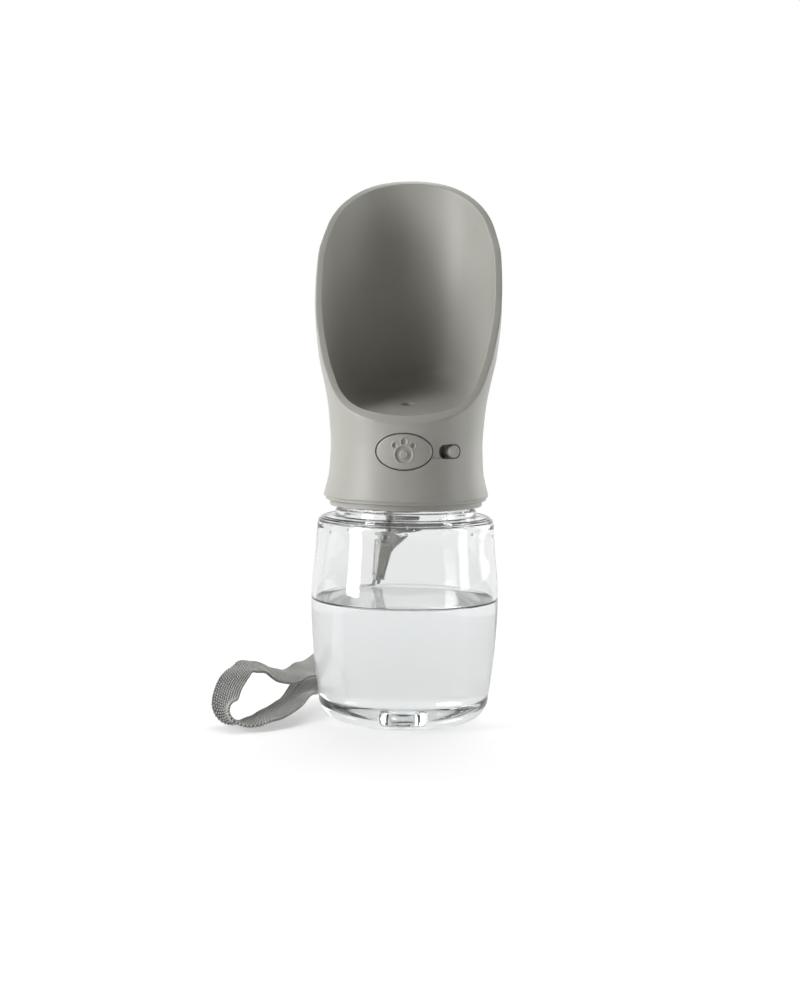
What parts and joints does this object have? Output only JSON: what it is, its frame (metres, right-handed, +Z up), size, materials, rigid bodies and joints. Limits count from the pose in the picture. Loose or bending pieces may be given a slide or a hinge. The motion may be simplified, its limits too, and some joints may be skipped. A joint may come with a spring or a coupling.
{
  "type": "pet travel water bottle",
  "caption": "Clear screw bottle under a grey head that ends in a tall drinking scoop, with a push-button valve, a travel lock, a weighted dip tube and a wrist strap.",
  "frame": {"origin": "middle of the base, on the surface that the bottle stands on", "axes": "+Z up, -Y is the front with the button and the scoop's opening, +X is to the viewer's right"},
  "size_m": [0.1113, 0.0924, 0.2162],
  "materials": {
    "clear_plastic": "clear polished moulding",
    "head_plastic": "warm grey, fine satin",
    "valve_plastic": "natural white moulding",
    "pale_rubber": "soft translucent seal",
    "black_rubber": "soft black seal",
    "steel": "plain bright steel",
    "tube_plastic": "clear soft tube",
    "weight_plastic": "grey satin moulding",
    "webbing": "ribbed grey webbing",
    "thread": "dark sewing thread"
  },
  "bodies": {
    "bottle": {"bottle_shell": "clear_plastic"},
    "seal": {"mouth_gasket": "pale_rubber"},
    "button": {"button_cap": "head_plastic", "valve_rod": "steel", "valve_seal": "black_rubber"},
    "lock": {"lock_knob": "head_plastic", "lock_slider": "head_plastic"},
    "head": {"head_shell": "head_plastic", "thread_collar": "head_plastic", "deck_plate": "head_plastic", "valve_body": "valve_plastic", "valve_end_cap": "valve_plastic", "valve_screws": "steel", "outlet_grommet": "pale_rubber", "rod_seal": "black_rubber", "button_guide": "head_plastic", "button_spring": "steel", "lock_retainer": "head_plastic", "vent_valve": "black_rubber", "dip_tube": "tube_plastic", "tube_weight": "weight_plastic", "weight_slug": "steel", "strap_pin": "steel", "strap_tab": "webbing", "strap_stitches": "thread", "strap_loop": "webbing"}
  },
  "joints": [
    {"name": "head_rise", "type": "slide", "parent": "bottle", "child": "seal", "axis": [0, 0, 1], "range_m": [0, 0.00601]},
    {"name": "head_turn", "type": "hinge", "parent": "seal", "child": "head", "pos_m": [0, 0, 0.0976], "axis": [0, 0, 1], "range_deg": [0, 540]},
    {"name": "button_press", "type": "slide", "parent": "head", "child": "button", "axis": [0, 1, 0], "range_m": [0, 0.003], "stiffness_N_per_m": 500, "springref_m": -0.004, "deforming": ["button_spring"]},
    {"name": "lock_slide", "type": "hinge", "parent": "head", "child": "lock", "pos_m": [0, 0, 0.108], "axis": [0, 0, 1], "range_deg": [-6, 0]}
  ],
  "couplings": [
    {"joint": "head_rise", "follows": "head_turn", "m_per_rad": 0.00063662}
  ]
}
